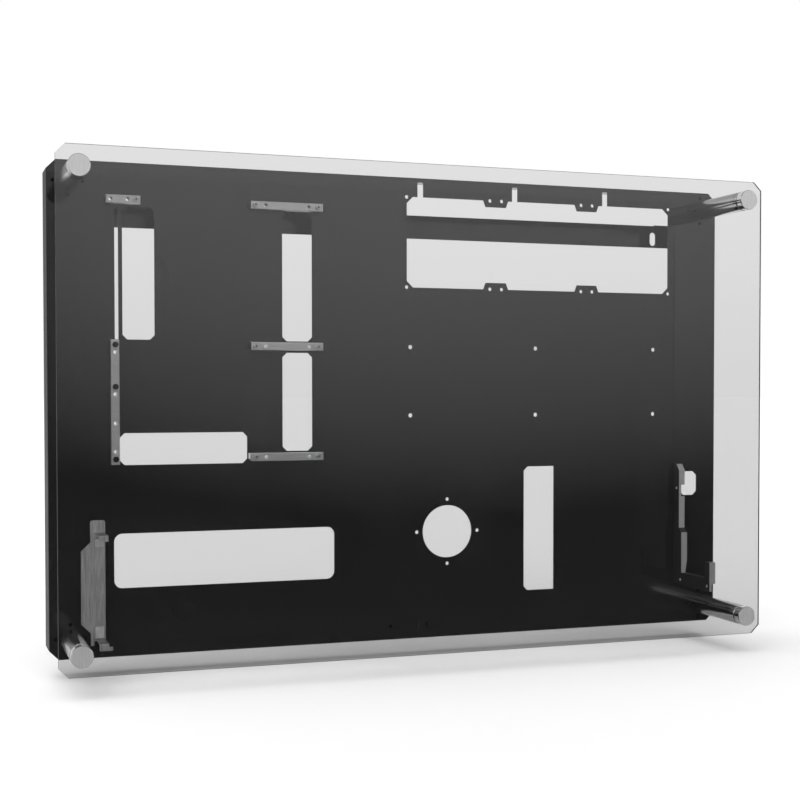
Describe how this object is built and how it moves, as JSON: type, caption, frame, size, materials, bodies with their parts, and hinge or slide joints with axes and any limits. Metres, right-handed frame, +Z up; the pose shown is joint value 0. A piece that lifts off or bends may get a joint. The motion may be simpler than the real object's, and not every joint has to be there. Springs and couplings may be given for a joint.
{
  "type": "open computer case",
  "caption": "Open wall-mounted computer case: a flanged back plate with cut-outs, and a clear front panel on turned stand-offs.",
  "frame": {"origin": "middle of the footprint, at the height of the lower edges of the back plate and the front panel", "axes": "+X to the right along the length, +Y back towards the wall, +Z up; the clear panel faces -Y"},
  "size_m": [0.82, 0.1554, 0.54],
  "materials": {
    "black_sheet": "smooth black, half gloss",
    "clear_panel": "clear cast acrylic, polished",
    "turned_metal": "fine turned",
    "bar_metal": "satin",
    "bracket_metal": "brushed",
    "bright_screw": "bright",
    "black_screw": "black oxide"
  },
  "bodies": {
    "root": {"back_plate": "black_sheet", "front_panel": "clear_panel", "standoff_top_left": "turned_metal", "standoff_cap_top_left": "turned_metal", "standoff_base_top_left": "black_sheet", "standoff_top_right": "turned_metal", "standoff_cap_top_right": "turned_metal", "standoff_base_top_right": "black_sheet", "standoff_bottom_left": "turned_metal", "standoff_cap_bottom_left": "turned_metal", "standoff_base_bottom_left": "black_sheet", "standoff_bottom_right": "turned_metal", "standoff_cap_bottom_right": "turned_metal", "standoff_base_bottom_right": "black_sheet", "board_bar_corner": "bar_metal", "board_bar_side": "bar_metal", "board_bar_top": "bar_metal", "board_bar_middle": "bar_metal", "board_bar_bottom": "bar_metal", "board_posts": "bright_screw", "board_posts_side": "black_screw", "graphics_card_bracket": "bracket_metal", "power_supply_bracket": "black_sheet", "power_supply_bracket_screws": "black_screw", "port_cover": "black_sheet", "port_cover_screws": "black_screw", "wall_rail": "black_sheet"}
  },
  "joints": []
}
